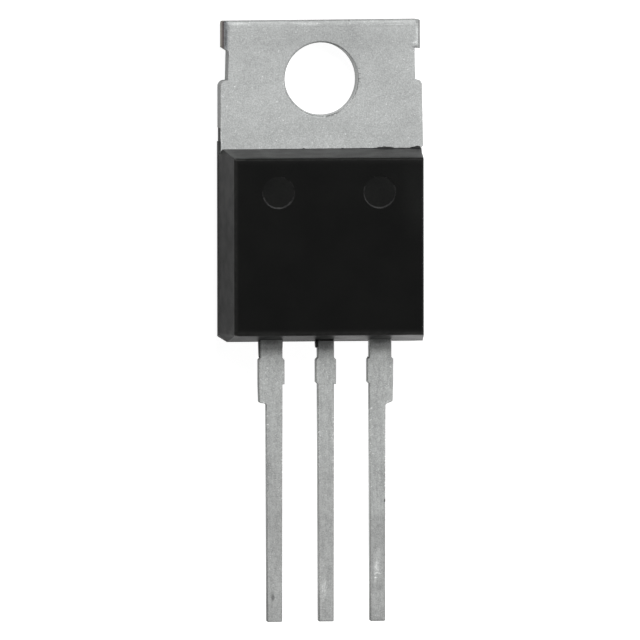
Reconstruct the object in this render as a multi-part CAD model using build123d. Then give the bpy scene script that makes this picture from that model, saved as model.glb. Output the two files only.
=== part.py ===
from build123d import *
from math import atan2, cos, degrees, radians, sin, tan
import os

# Three-lead plastic power transistor with a drilled metal tab, lying on the back of its tab.
# Millimetres. X runs across the package, +Y points from the leads to the tab's free end,
# +Z points out of the moulded face. The origin is the mounting hole's axis in the tab's back face.

# metal strip: one blank, thick at the tab and thin at the leads
TAB_T = 1.27                # tab thickness
LEAD_T = 0.50               # lead thickness
LEAD_Z = 2.40               # back face of the leads above the tab's back face
LEAD_PITCH = 2.54

# moulded body
BODY_T = 4.50               # tab back to moulded face
BODY_W = 10.05              # front half at the parting plane
BODY_L = 9.37               # front half, tab end to the ridge at the leads
BODY_DROP = 3.40            # hole axis to the body
BODY_SHIFT = -0.05          # the mould sits this far off the metal strip's centre line, to the left
DRAFT_SIDE = 6.5
DRAFT_TOP = 6.2
DRAFT_LOW = 10.0
BACK_LIP = 0.015            # the back half stands this much proud of the front half
BACK_LIP_LOW = 0.012        # and this much at the leads
DRAFT_BACK = 4.6
DRAFT_BACK_LOW = 3.5
EAR = 0.36                  # on the left, the back half runs this much further up the tab
FACE_R = 0.12               # edge round the moulded face
EJECTOR_D = 1.60
EJECTOR_DEPTH = 0.02
EJECTOR_DROP = 2.02         # body's tab end to the marks
EJECTOR_PITCH = 4.97
CORNER_X = 0.27             # cut lead-end corner, seen from the front on the left
CORNER_Y = 0.31
NICK_X = 0.20               # small cut at the tab end of the same side
NICK_Y = 0.25
NICK_RIGHT_X = 0.07         # and a smaller one opposite
NICK_RIGHT_Y = 0.40
NICK_BACK_X = 0.04          # which runs down the back half too

# tab outside the moulding
TAB_SIDE = 0.05             # the body's front half is this much wider on each side
TAB_TOP = 2.865             # hole axis to the free end's left corner
END_SKEW = 0.055            # the free end was sheared this much longer at its right corner
HOLE_D = 3.60
HORN_SIDE = 0.14            # the two cut tie-bar stubs at the free end stop this far inside the tab's sides
HORN_L = 1.30
HORN_SLANT_LEFT = 0.17      # the cut under each stub runs this much lower, or higher, at its inner end
HORN_SLANT_RIGHT = -0.045
HORN_OUT = 0.045            # the right stub and the relief under it stand this much further out
HORN_DROP = 0.085           # and the cut under that stub is this much lower
RELIEF_L = 1.60             # length of the relief in each side, beside the hole
RELIEF_TOP = 0.405          # its depth at the stubs
RELIEF_LOW = 0.37           # and at the shoulders
SHOULDER_R_LEFT = 0.30
SHOULDER_R_RIGHT = 0.24
HORN_R = 0.10
RELIEF_R = 0.04             # inner corners of the relief
EDGE_R = 0.02               # burr side: nearly sharp round the front face
BACK_R = 0.10               # punch side: rolled round the back
HOLE_EDGE_R = 0.08
HOLE_BACK_R = 0.30
ROLL_END = (0.30, 0.05)     # width and depth of the roll that shearing left on the free end's edge
ROLL_LEFT = (0.34, 0.15)    # and on the two tie-bar stubs
ROLL_RIGHT = (0.16, 0.04)
UNDERCUT = 0.10             # the left side slants in this much towards the back, beside the body
UNDERCUT_RISE = 1.03        # and this far up from it
UNDERCUT_TOP = 0.03         # below the tab's face
FILM_T = 0.063              # skin of moulding that crept up it
FLARE = 0.06                # the right side widens towards the body, then turns in
FLARE_RISE = 0.13
TURN_IN = 0.05
TURN_DROP = 0.01
GRIP_IN = 0.12              # and further in, once it is under the moulding
GRIP_DROP = 0.12

# tab inside the moulding
PAD_WALL = 0.765            # moulding beside the die pad
NECK = 0.36                 # the full width reaches this far under the front half
PAD_STEP = 0.35             # the pad is undercut this far along its sides and end
PAD_STEP_Z = 0.45
GROOVE_DROP = 1.45          # moisture groove across the pad, from the body's tab end
GROOVE_W = 0.44
GROOVE_DEPTH = 0.22

# leads outside the moulding
LEAD_L = 13.70              # ridge to the tips
LEAD_W = 0.80
LEAD_TIP_W = 0.735
TIP_CHAMFER = 0.04
WIDE_OUT = 0.755            # outer leads: centre line to the outer edge at the wide part's end
BAR_OUT = 0.78              # at the cut dam bar
ROOT_OUT = 0.69             # and between the bar and the body
SHOULDER_DROP = 3.00        # ridge to the end of the wide part
SHOULDER_FILLET = 0.10
SHOULDERS = {                # how far below that each outer shoulder starts, and how far it slants up
    "left": (0.02, 0.05),
    "right": (0.09, 0.15),
}
BAR_TOP_DROP = 0.78         # ridge to the dam bar
BAR_H = 1.30
BAR_STUB = 0.10             # what is left of the bar between the leads
LEAD_EDGE = 0.03

# centre lead inside the moulding
JOG_FLAT = 0.35             # pad's end to the start of the jog
JOG_RUN = 0.95
ROOT_W = 2.20
BEND_R = 0.22

# outer leads inside the moulding
POST_RISE = 0.77            # ridge to the bond posts
POST_L = 1.25
POST_IN = 0.95              # centre line to the inner edge of the bond post
POST_WALL = 1.025           # body's side to the post's outer edge
POST_R = 0.15
POST_GAP = 0.85             # bond posts to the pad's end
ANCHOR_D = 0.60
ANCHOR_OUT = 0.36
ANCHOR_RISE = 0.55          # ridge to the anchor hole's centre

# die and its joint
DIE_W = 2.60
DIE_L = 2.20
DIE_T = 0.28
DIE_MARGIN = 1.10           # pad's end to the die
SOLDER_T = 0.06
SOLDER_RIM = 0.16

# bond wires, two to a side: each runs from the die to its post
WIRE_D = 0.20
WIRE_SINK = 0.04            # how far a wedge foot is pressed flat
FOOT = 0.45
WIRE_LIFT = 48.0            # climb angle off the die
WIRE_FALL = 38.0            # descent angle to the post
WIRE_BEND = 0.35
WIRE_CROWN = 0.80
WIRE_LAND = 0.55            # top of the bond post to the end of the wire
# name: start across and along from the die's centre, end across from the lead's centre line
WIRES = {
    "inner": ((0.55, 0.35), -0.59),
    "outer": ((1.00, 0.65), 0.06),
}

# values that follow
LEAD_FRONT = LEAD_Z + LEAD_T
BODY_HALF = BODY_W / 2
BODY_TOP_Y = -BODY_DROP
BODY_LOW_Y = BODY_TOP_Y - BODY_L
EAR_TOP_Y = BODY_TOP_Y + EAR
EJECTOR_Y = BODY_TOP_Y - EJECTOR_DROP
TAB_HALF = BODY_HALF - TAB_SIDE
HORN_HALF = TAB_HALF - HORN_SIDE
HORN_Y = TAB_TOP - HORN_L
WAIST_TOP = TAB_HALF - RELIEF_TOP
WAIST_LOW = TAB_HALF - RELIEF_LOW
SHOULDER_Y = HORN_Y - RELIEF_L
UNDERCUT_Y = BODY_TOP_Y + UNDERCUT_RISE
NECK_Y = BODY_TOP_Y - NECK
GROOVE_Y = BODY_TOP_Y - GROOVE_DROP
LEAD_END_Y = BODY_LOW_Y - LEAD_L
ANCHOR_Y = BODY_LOW_Y + ANCHOR_RISE
POST_LOW_Y = BODY_LOW_Y + POST_RISE
POST_TOP_Y = POST_LOW_Y + POST_L
POST_OUT = BODY_HALF - POST_WALL - LEAD_PITCH
PAD_HALF = BODY_HALF - PAD_WALL
PAD_END_Y = POST_TOP_Y + POST_GAP
JOG_START_Y = PAD_END_Y - JOG_FLAT
JOG_END_Y = JOG_START_Y - JOG_RUN
DIE_Y = PAD_END_Y + DIE_MARGIN + DIE_L / 2
FACE_HALF = BODY_HALF - (BODY_T - TAB_T) * tan(radians(DRAFT_SIDE))
FACE_TOP_Y = BODY_TOP_Y - (BODY_T - TAB_T) * tan(radians(DRAFT_TOP))
FACE_LOW_Y = BODY_LOW_Y + (BODY_T - LEAD_Z) * tan(radians(DRAFT_LOW))
BACK_HALF = BODY_HALF + BACK_LIP - TAB_T * tan(radians(DRAFT_BACK))
BACK_LOW_Y = BODY_LOW_Y + LEAD_Z * tan(radians(DRAFT_BACK_LOW))
WIDE_END_Y = BODY_LOW_Y - SHOULDER_DROP
BAR_TOP_Y = BODY_LOW_Y - BAR_TOP_DROP
BAR_LOW_Y = BAR_TOP_Y - BAR_H
DIE_BASE = TAB_T + SOLDER_T
DIE_TOP = DIE_BASE + DIE_T


def plate(points, z0, z1):
    """A flat outline in plan, given its two heights."""
    outline = make_face(Polyline(*points, close=True))
    return Pos(0, 0, z0) * extrude(outline, amount=z1 - z0)


def upright_edges(part, places, reach=0.02):
    """The vertical edges that stand at the given plan positions."""
    chosen = []
    for edge in part.edges().filter_by(Axis.Z):
        middle = edge.center()
        for x, y in places:
            if abs(middle.X - x) < reach and abs(middle.Y - y) < reach:
                chosen.append(edge)
    return chosen


def level_edges(part, z):
    """The edges round the flat faces that lie at height z."""
    return part.faces().filter_by(Axis.Z).filter_by_position(Axis.Z, z - 1e-4, z + 1e-4).edges()


def tab_plate():
    """The tab outside the moulding, with tie-bar stubs, side reliefs and the mounting hole."""
    gripped = TAB_HALF - GRIP_IN
    right = horn_side(TAB_TOP + END_SKEW, HORN_SLANT_RIGHT, HORN_OUT, HORN_DROP) + [
        (TAB_HALF + FLARE, BODY_TOP_Y + FLARE_RISE), (TAB_HALF - TURN_IN, BODY_TOP_Y - TURN_DROP),
        (gripped, BODY_TOP_Y - GRIP_DROP), (gripped, NECK_Y)]
    left = horn_side(TAB_TOP, HORN_SLANT_LEFT) + [(TAB_HALF, NECK_Y)]
    tab = plate(right + [(-x, y) for x, y in reversed(left)], 0, TAB_T)
    right_half = HORN_HALF + HORN_OUT
    tab = fillet(upright_edges(tab, [(right_half, TAB_TOP + END_SKEW), (-HORN_HALF, TAB_TOP)]), HORN_R)
    tab = fillet(upright_edges(tab, [(-TAB_HALF, SHOULDER_Y)]), SHOULDER_R_LEFT)
    tab = fillet(upright_edges(tab, [(TAB_HALF, SHOULDER_Y)]), SHOULDER_R_RIGHT)
    relief = [(-WAIST_LOW, SHOULDER_Y), (WAIST_LOW + HORN_OUT, SHOULDER_Y)]
    relief.append((-WAIST_TOP, HORN_Y - HORN_SLANT_LEFT))
    relief.append((WAIST_TOP + HORN_OUT, HORN_Y - HORN_DROP - HORN_SLANT_RIGHT))
    tab = fillet(upright_edges(tab, relief), RELIEF_R)
    for z, radius in ((TAB_T, EDGE_R), (0, BACK_R)):
        rim = [e for e in level_edges(tab, z) if e.center().Y > NECK_Y + 0.01]
        tab = fillet(rim, radius)
    tab -= Cylinder(HOLE_D / 2, 3 * TAB_T)
    for z, radius in ((TAB_T, HOLE_EDGE_R), (0, HOLE_BACK_R)):
        rounds = level_edges(tab, z).filter_by(GeomType.CIRCLE)
        tab = fillet([e for e in rounds if abs(e.radius - HOLE_D / 2) < 1e-6], radius)
    skew = degrees(atan2(END_SKEW, 2 * HORN_HALF))
    end_roll = Plane.YZ * roll_cutter(ROLL_END, 2 * TAB_HALF)
    tab -= Pos(0, TAB_TOP + END_SKEW / 2, TAB_T) * Rot(0, 0, skew) * end_roll
    left_roll = mirror(Plane.XZ * roll_cutter(ROLL_LEFT, HORN_L + HORN_SLANT_LEFT), about=Plane.YZ)
    right_roll = Plane.XZ * roll_cutter(ROLL_RIGHT, HORN_L + HORN_DROP)
    tab -= Pos(-HORN_HALF, TAB_TOP, TAB_T) * left_roll
    return tab - Pos(right_half, TAB_TOP, TAB_T) * right_roll


def horn_side(end_y, slant, out=0, drop=0):
    """One side of the tab from its free end down to the shoulder, as distance from the middle."""
    low_y = HORN_Y - drop
    return [
        (HORN_HALF + out, end_y), (HORN_HALF + out, low_y), (WAIST_TOP + out, low_y - slant),
        (WAIST_LOW + out, SHOULDER_Y), (TAB_HALF, SHOULDER_Y),
    ]


def roll_cutter(roll, reach):
    """What to take off a top right corner at the origin to roll it down, as a bar running both ways."""
    width, depth = roll
    rounded = Pos(-width, -depth) * Ellipse(width, depth)
    corner = Rectangle(2 * width, 2 * width, align=(Align.MIN, Align.MIN))
    return extrude(Pos(-width, -depth) * corner - rounded, amount=reach, both=True)


def die_pad():
    """The pad inside the moulding: a stepped plate that the plastic keys under, with a moisture groove."""
    shelf_top = NECK_Y - (TAB_HALF - PAD_HALF)
    points = [
        (TAB_HALF - GRIP_IN, NECK_Y), (PAD_HALF, shelf_top), (PAD_HALF, PAD_END_Y),
        (-PAD_HALF, PAD_END_Y), (-PAD_HALF, shelf_top), (-TAB_HALF, NECK_Y),
    ]
    pad = plate(points, 0, TAB_T)
    for side in (-1, 1):
        shelf = Box(PAD_STEP, shelf_top - PAD_END_Y, PAD_STEP_Z, align=(Align.CENTER, Align.MIN, Align.MIN))
        pad -= Pos(side * (PAD_HALF - PAD_STEP / 2), PAD_END_Y, 0) * shelf
    end_shelf = Box(2 * PAD_HALF, PAD_STEP, PAD_STEP_Z, align=(Align.CENTER, Align.MIN, Align.MIN))
    pad -= Pos(0, PAD_END_Y, 0) * end_shelf
    groove = Polyline(
        (GROOVE_Y - GROOVE_W / 2, TAB_T), (GROOVE_Y, TAB_T - GROOVE_DEPTH), (GROOVE_Y + GROOVE_W / 2, TAB_T),
        close=True)
    cutter = extrude(Plane.YZ * make_face(groove), amount=2 * PAD_HALF, both=True)
    return pad - cutter


def jogged_strip(width):
    """A strip of lead thickness that leaves the pad at the tab's face and climbs to the lead plane."""
    low = TAB_T - LEAD_T / 2
    high = LEAD_Z + LEAD_T / 2
    slope = atan2(high - low, JOG_START_Y - JOG_END_Y)
    shift = LEAD_T / 2 * tan(slope / 2)
    half = LEAD_T / 2
    points = [
        (PAD_END_Y, low + half), (JOG_START_Y + shift, low + half),
        (JOG_END_Y + shift, high + half), (LEAD_END_Y, high + half),
        (LEAD_END_Y, high - half), (JOG_END_Y - shift, high - half),
        (JOG_START_Y - shift, low - half), (PAD_END_Y, low - half),
    ]
    profile = make_face(Polyline(*points, close=True))
    outer = BEND_R + LEAD_T
    radii = {1: BEND_R, 2: outer, 5: BEND_R, 6: outer}
    for index, radius in radii.items():
        y, z = points[index]
        corner = [v for v in profile.vertices() if abs(v.X - y) < 1e-6 and abs(v.Y - z) < 1e-6]
        profile = fillet(corner, radius)
    return extrude(Plane.YZ * profile, amount=width / 2, both=True)


def lead_outline(post, shoulder=None, torn=False):
    """Half outline of a lead in plan from the tip up, as distance from its centre line.

    The outer side of an outer lead has the wide part, which ends in the given shoulder. On any other
    side the dam bar's lower end is cut square, or slopes where it tore.
    """
    half = LEAD_W / 2
    tip = LEAD_TIP_W / 2
    drop, slant = shoulder or (0, 0)
    low_y = WIDE_END_Y - drop
    rows = [(tip - TIP_CHAMFER, LEAD_END_Y), (tip, LEAD_END_Y + TIP_CHAMFER), (half, low_y)]
    if shoulder:
        root = ROOT_OUT
        bar = BAR_OUT
        rows += [(WIDE_OUT, low_y + slant), (bar, BAR_LOW_Y)]
    else:
        root = half
        bar = half + BAR_STUB
        rows += [(half, BAR_LOW_Y), (bar, BAR_LOW_Y + (BAR_STUB if torn else 0))]
    rows += [(bar, BAR_TOP_Y - (bar - root)), (root, BAR_TOP_Y)]
    return rows + [(root, y) if x is None else (x, y) for x, y in post]


def center_lead():
    """The centre lead: cut from the same blank as the tab and joined to the pad by its jog."""
    root = ROOT_W / 2
    post = [(None, BODY_LOW_Y + 0.9), (root * 0.6, JOG_END_Y + 0.2), (root, JOG_START_Y), (root, PAD_END_Y)]
    right = lead_outline(post)
    left = [(-x, y) for x, y in reversed(lead_outline(post, torn=True))]
    blank = plate(right + left, 0, BODY_T)
    return blank & jogged_strip(3 * ROOT_W)


def heat_tab():
    """Tab, die pad and centre lead are one piece of copper."""
    tab = tab_plate() + die_pad() + center_lead() - side_skin(UNDERCUT)
    lead = [e for e in level_edges(tab, LEAD_FRONT) if e.bounding_box().min.Y < BODY_LOW_Y]
    return chamfer(lead, LEAD_EDGE)


def outer_lead(side):
    """An outer lead with its bond post: side -1 is left, +1 is right, seen from the moulded face."""
    shoulder = SHOULDERS["right" if side > 0 else "left"]
    outward = lead_outline([
        (None, POST_LOW_Y), (POST_OUT, POST_LOW_Y), (POST_OUT, POST_TOP_Y)], shoulder=shoulder)
    inward = lead_outline([
        (None, POST_LOW_Y), (POST_IN, POST_LOW_Y), (POST_IN, POST_TOP_Y)], torn=side > 0)
    points = [(side * (LEAD_PITCH + x), y) for x, y in outward]
    points += [(side * (LEAD_PITCH - x), y) for x, y in reversed(inward)]
    lead = plate(points, LEAD_Z, LEAD_FRONT)
    low_y = WIDE_END_Y - shoulder[0]
    bends = [
        (side * (LEAD_PITCH + LEAD_W / 2), low_y), (side * (LEAD_PITCH + WIDE_OUT), low_y + shoulder[1])]
    lead = fillet(upright_edges(lead, bends), SHOULDER_FILLET)
    post = [(side * (LEAD_PITCH + x), y) for x in (POST_OUT, -POST_IN) for y in (POST_TOP_Y, POST_LOW_Y)]
    step = abs(POST_OUT - ROOT_OUT)
    lead = fillet(upright_edges(lead, post), min(POST_R, step / 2))
    lead = chamfer(level_edges(lead, LEAD_FRONT), LEAD_EDGE)
    anchor = Cylinder(ANCHOR_D / 2, 3 * LEAD_T)
    return lead - Pos(side * (LEAD_PITCH + ANCHOR_OUT), ANCHOR_Y, LEAD_Z) * anchor


def die_solder():
    """Solder under the die, drawn out to a thin rim."""
    base = Plane.XY.offset(TAB_T) * Rectangle(DIE_W + 2 * SOLDER_RIM, DIE_L + 2 * SOLDER_RIM)
    top = Plane.XY.offset(DIE_BASE) * Rectangle(DIE_W, DIE_L)
    return Pos(0, DIE_Y, 0) * loft([base, top])


def die():
    """The silicon chip."""
    chip = Box(DIE_W, DIE_L, DIE_T, align=(Align.CENTER, Align.CENTER, Align.MIN))
    return Pos(0, DIE_Y, DIE_BASE) * chip


def bond_wire(start, end):
    """A wire with a flattened foot at each end, looped from the die down to a post."""
    z_start = DIE_TOP + WIRE_D / 2 - WIRE_SINK
    z_end = LEAD_FRONT + WIRE_D / 2 - WIRE_SINK
    run = Vector(end[0] - start[0], end[1] - start[1], 0)
    up = radians(WIRE_LIFT)
    down = radians(WIRE_FALL)
    span = run.length - 2 * FOOT
    flat = WIRE_BEND * (sin(up) + sin(down)) + WIRE_CROWN * (sin(up) + sin(down))
    rise = WIRE_BEND * (cos(down) - cos(up)) + WIRE_CROWN * (cos(down) - cos(up))
    # two straight runs take up what the three bends leave: solve for their lengths
    a = span - flat
    b = (z_end - z_start) - rise
    climb = (a * sin(down) + b * cos(down)) / sin(up + down)
    fall = (a * sin(up) - b * cos(up)) / sin(up + down)
    leave = Line((0, 0), (FOOT, 0))
    bend_up = JernArc(leave @ 1, leave % 1, WIRE_BEND, WIRE_LIFT)
    rising = Line(bend_up @ 1, bend_up @ 1 + (bend_up % 1) * climb)
    crown = JernArc(rising @ 1, rising % 1, WIRE_CROWN, -(WIRE_LIFT + WIRE_FALL))
    falling = Line(crown @ 1, crown @ 1 + (crown % 1) * fall)
    bend_flat = JernArc(falling @ 1, falling % 1, WIRE_BEND, WIRE_FALL)
    land = Line(bend_flat @ 1, bend_flat @ 1 + (bend_flat % 1) * FOOT)
    path = leave + bend_up + rising + crown + falling + bend_flat + land
    frame = Plane(origin=(start[0], start[1], z_start), x_dir=run, z_dir=run.cross(Vector(0, 0, 1)))
    path = frame * path
    wire = sweep(Plane(origin=path @ 0, z_dir=path % 0) * Circle(WIRE_D / 2), path=path)
    below = Box(20, 40, 1, align=(Align.CENTER, Align.CENTER, Align.MAX))
    wire -= Pos(0, DIE_Y, DIE_TOP) * split_zone(start, end, below, True)
    return wire - Pos(0, DIE_Y, LEAD_FRONT) * split_zone(start, end, below, False)


def split_zone(start, end, slab, at_start):
    """The part of a slab that lies under one end of a wire."""
    middle = (start[1] + end[1]) / 2 - DIE_Y
    shift = 20 if at_start else -20
    return slab & (Pos(0, middle + shift, -0.5) * Box(20, 40, 2))


def slanted_cut(corner, on_side, on_end):
    """A block that lies outside the plane through three points of a corner."""
    a, b, c = Vector(*corner), Vector(*on_side), Vector(*on_end)
    normal = (b - a).cross(c - a).normalized()
    if normal.X * corner[0] < 0:
        normal = normal * -1
    face = Plane(origin=(a + b + c) / 3, z_dir=normal)
    return face * Box(6, 6, 3, align=(Align.CENTER, Align.CENTER, Align.MIN))


def mold_blank():
    """The moulded form: two drafted halves that part at the tab's face and, at the leads, at their plane."""
    across = Polyline(
        (FACE_HALF, BODY_T), (BODY_HALF, TAB_T), (BODY_HALF + BACK_LIP, TAB_T), (BACK_HALF, 0),
        (-BACK_HALF, 0), (-BODY_HALF - BACK_LIP, TAB_T), (-BODY_HALF, TAB_T), (-FACE_HALF, BODY_T),
        close=True)
    along = Polyline(
        (FACE_TOP_Y, BODY_T), (BODY_TOP_Y, TAB_T), (EAR_TOP_Y, TAB_T), (EAR_TOP_Y, 0),
        (BACK_LOW_Y, 0), (BODY_LOW_Y - BACK_LIP_LOW, LEAD_Z), (BODY_LOW_Y, LEAD_Z), (FACE_LOW_Y, BODY_T),
        close=True)
    width = extrude(Plane.XZ * make_face(across), amount=30, both=True)
    length = extrude(Plane.YZ * make_face(along), amount=20, both=True)
    body = width & length
    return cut_corners(fillet(level_edges(body, BODY_T), FACE_R))


def cut_corners(body):
    """The small cut corners: two on the left, which is the mould's gate side, and one on the right."""
    side_x = -BODY_HALF - BACK_LIP
    low_y = BODY_LOW_Y - BACK_LIP_LOW
    body -= slanted_cut(
        (-FACE_HALF, FACE_LOW_Y, BODY_T - FACE_R),
        (side_x, low_y + CORNER_Y, TAB_T),
        (side_x + CORNER_X, low_y, LEAD_Z))
    wedge = Polyline(
        (side_x - 1, low_y + CORNER_Y), (side_x, low_y + CORNER_Y), (side_x + CORNER_X, low_y),
        (side_x + CORNER_X, low_y - 1), (side_x - 1, low_y - 1), close=True)
    body -= extrude(make_face(wedge), amount=LEAD_Z)
    above = Pos(0, 0, TAB_T) * Box(20, 40, 10, align=(Align.CENTER, Align.CENTER, Align.MIN))
    for side, nick_x, nick_y in ((-1, NICK_X, NICK_Y), (1, NICK_RIGHT_X, NICK_RIGHT_Y)):
        nick = slanted_cut(
            (side * FACE_HALF, FACE_TOP_Y, BODY_T - FACE_R),
            (side * BODY_HALF, BODY_TOP_Y - nick_y, TAB_T),
            (side * (BODY_HALF - nick_x), BODY_TOP_Y, TAB_T))
        body -= nick & above
    side_x = BODY_HALF + BACK_LIP
    low_y = BODY_TOP_Y - NICK_RIGHT_Y
    wedge = Polyline(
        (side_x - 1, BODY_TOP_Y), (side_x - NICK_BACK_X, BODY_TOP_Y), (side_x, low_y),
        (side_x + 1, low_y), (side_x + 1, BODY_TOP_Y + 1), (side_x - 1, BODY_TOP_Y + 1), close=True)
    return body - extrude(make_face(wedge), amount=TAB_T)


def side_skin(thickness):
    """A skin, of a thickness across, on the slanted stretch of the tab's left side."""
    high = TAB_T - UNDERCUT_TOP
    edge = -TAB_HALF + UNDERCUT
    corners = [(-TAB_HALF, high), (edge, 0), (edge - thickness, 0)]
    if thickness < UNDERCUT:
        corners.append((-TAB_HALF, high * (1 - thickness / UNDERCUT)))
    skin = extrude(Plane.XZ * make_face(Polyline(*corners, close=True)), amount=UNDERCUT_Y - NECK_Y)
    return Pos(0, UNDERCUT_Y, 0) * skin


def mold_body(inserts):
    """The moulding round everything it holds, with ejector-pin marks in its face."""
    body = mold_blank()
    for side in (-1, 1):
        mark = Cylinder(EJECTOR_D / 2, EJECTOR_DEPTH, align=(Align.CENTER, Align.CENTER, Align.MAX))
        body -= Pos(side * EJECTOR_PITCH / 2, EJECTOR_Y, BODY_T) * mark
    body = Pos(BODY_SHIFT, 0, 0) * body + side_skin(FILM_T)
    for insert in inserts:
        body -= insert
    return body


def main():
    pieces = {
        "heat_tab": heat_tab(),
        "lead_left": outer_lead(-1),
        "lead_right": outer_lead(1),
        "die_solder": die_solder(),
        "die": die(),
    }
    for side, side_name in ((-1, "left"), (1, "right")):
        for place, ((x, y), end_x) in WIRES.items():
            start = (side * x, DIE_Y + y)
            end = (side * (LEAD_PITCH + end_x), POST_TOP_Y - WIRE_LAND)
            pieces[f"bond_wire_{side_name}_{place}"] = bond_wire(start, end)
    pieces["mold_body"] = mold_body(list(pieces.values()))
    os.makedirs("parts", exist_ok=True)
    for name, piece in pieces.items():
        export_step(piece, f"parts/{name}.step")
        print(name, len(piece.solids()), round(piece.volume, 4))


main()
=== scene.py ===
import math
import bpy
from mathutils import Matrix, Vector


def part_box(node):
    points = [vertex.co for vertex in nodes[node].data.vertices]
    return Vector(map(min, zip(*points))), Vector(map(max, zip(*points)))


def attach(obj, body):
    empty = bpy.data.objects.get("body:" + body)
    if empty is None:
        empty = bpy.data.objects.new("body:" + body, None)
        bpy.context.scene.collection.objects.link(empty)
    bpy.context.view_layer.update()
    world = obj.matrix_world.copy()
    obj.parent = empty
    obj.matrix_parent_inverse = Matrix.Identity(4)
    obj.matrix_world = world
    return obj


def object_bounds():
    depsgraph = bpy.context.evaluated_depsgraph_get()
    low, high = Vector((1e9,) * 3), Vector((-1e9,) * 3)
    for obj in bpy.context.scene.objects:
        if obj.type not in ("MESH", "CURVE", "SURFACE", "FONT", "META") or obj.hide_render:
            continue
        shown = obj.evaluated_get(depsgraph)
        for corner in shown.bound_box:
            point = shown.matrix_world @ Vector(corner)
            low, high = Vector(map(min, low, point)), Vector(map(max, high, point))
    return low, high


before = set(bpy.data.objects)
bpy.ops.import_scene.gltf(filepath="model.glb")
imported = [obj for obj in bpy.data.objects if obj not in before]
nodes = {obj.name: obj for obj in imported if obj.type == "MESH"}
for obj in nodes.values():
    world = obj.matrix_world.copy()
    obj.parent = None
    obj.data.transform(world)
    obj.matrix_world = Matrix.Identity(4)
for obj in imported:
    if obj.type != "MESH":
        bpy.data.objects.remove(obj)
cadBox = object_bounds()
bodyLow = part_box("mold_body")[0]
mm = 0.001
print("stage: frame loaded,", len(nodes), "nodes")

scene = bpy.context.scene
scene.view_settings.view_transform = "Standard"


# camera: a long lens above the part, a little to the left and towards the tab's end

viewFrom = {
    "distance": 0.8,        # metres from the aim point
    "lens": 917.91,         # focal length in mm
    "sensor": 36.0,
    "lean": 7.64,           # degrees to the left of straight down
    "tip": 2.67,            # degrees towards the tab
    "roll": -0.07,
    "aim": (0.0943, -11.8487),      # in mm, on the floor
    "nearest": 0.01,        # metres
    "farthest": 20.0,
}


def addCamera(view):
    lean = math.radians(view["lean"])
    tip = math.radians(view["tip"])
    roll = math.radians(view["roll"])
    right = Vector((math.cos(lean), 0, math.sin(lean)))
    up = Vector((math.sin(lean) * math.sin(tip), math.cos(tip), -math.cos(lean) * math.sin(tip)))
    back = right.cross(up)
    turnedRight = right * math.cos(roll) + up * math.sin(roll)
    turnedUp = up * math.cos(roll) - right * math.sin(roll)
    place = Vector((*view["aim"], 0)) * mm + back * view["distance"]
    bpy.ops.object.camera_add(location=place)
    camera = bpy.context.object
    turn = Matrix((turnedRight, turnedUp, back)).transposed()
    camera.rotation_euler = turn.to_euler()
    camera.data.sensor_width = view["sensor"]
    camera.data.lens = view["lens"]
    camera.data.clip_start = view["nearest"]
    camera.data.clip_end = view["farthest"]
    scene.camera = camera


addCamera(viewFrom)
print("stage: camera")


# studio: a pale floor, soft boxes and a grey room

studio = {
    "floorSize": 6.0,       # metres
    "floorGap": 0.02,       # mm under the part
    "floorGlow": 0.95,      # the white sweep, as the camera sees it
    "shineLeft": 0.32,      # and as metal and gloss reflect it, at the left, dimmed as painted shade
    "shineRight": 1.10,     # and at the right, a painted pool of light seen only in reflections
    "shineFront": 1.45,     # painted light: how much more in front of the leads' end of the body
    "frontHalf": 1.0,       # mm either side of that end, over which it comes in
    "poolHalf": 6.0,        # mm either side of the middle, over which the painted pool brightens
    "floorGrey": 0.30,      # the part of it that takes shadows
    "roomLow": 0.30,        # room brightness near the horizon
    "roomHigh": 0.08,       # and overhead
    "roomHighAt": 0.7,      # where that starts: 0 is the horizon, 1 is overhead
}
softBoxes = {
    # name: place and size in metres, power, where it points
    "keyBox": ((0.15, 0.306, 0.48), 0.34, 4.3, (0, -0.01, 0)),
    "fillBox": ((0.45, -0.20, 0.30), 0.26, 0.6, (0, -0.01, 0)),
}
white = (1, 1, 1, 1)


def asColor(tone):
    return tone if isinstance(tone, tuple) else (tone, tone, tone, 1)


def addSoftBox(name, place, size, power, aim):
    bpy.ops.object.light_add(type="AREA", location=place)
    lamp = bpy.context.object
    lamp.name = name
    lamp.data.shape = "SQUARE"
    lamp.data.size = size
    lamp.data.energy = power
    lamp.rotation_euler = (Vector(place) - Vector(aim)).to_track_quat("Z", "Y").to_euler()


for boxName, values in softBoxes.items():
    addSoftBox(boxName, *values)


def connect(tree, node, key, value):
    if isinstance(value, bpy.types.NodeSocket):
        tree.links.new(value, node.inputs[key])
    else:
        node.inputs[key].default_value = value


def addNode(tree, kind, inputs=None, **settings):
    node = tree.nodes.new(kind)
    for key, value in settings.items():
        setattr(node, key, value)
    for key, value in (inputs or {}).items():
        connect(tree, node, key, value)
    return node


def addMath(tree, operation, *values):
    return addNode(tree, "ShaderNodeMath", dict(enumerate(values)), operation=operation).outputs[0]


def addVectorMath(tree, operation, inputs):
    return addNode(tree, "ShaderNodeVectorMath", inputs, operation=operation).outputs


def addRamp(tree, factor, low, high, fromValue=0.0, toValue=1.0, smooth=True):
    return addNode(tree, "ShaderNodeMapRange", {
        "Value": factor, "From Min": low, "From Max": high, "To Min": fromValue, "To Max": toValue,
    }, interpolation_type="SMOOTHSTEP" if smooth else "LINEAR").outputs["Result"]


def splitAxes(tree, vector):
    return addNode(tree, "ShaderNodeSeparateXYZ", {0: vector}).outputs


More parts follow.
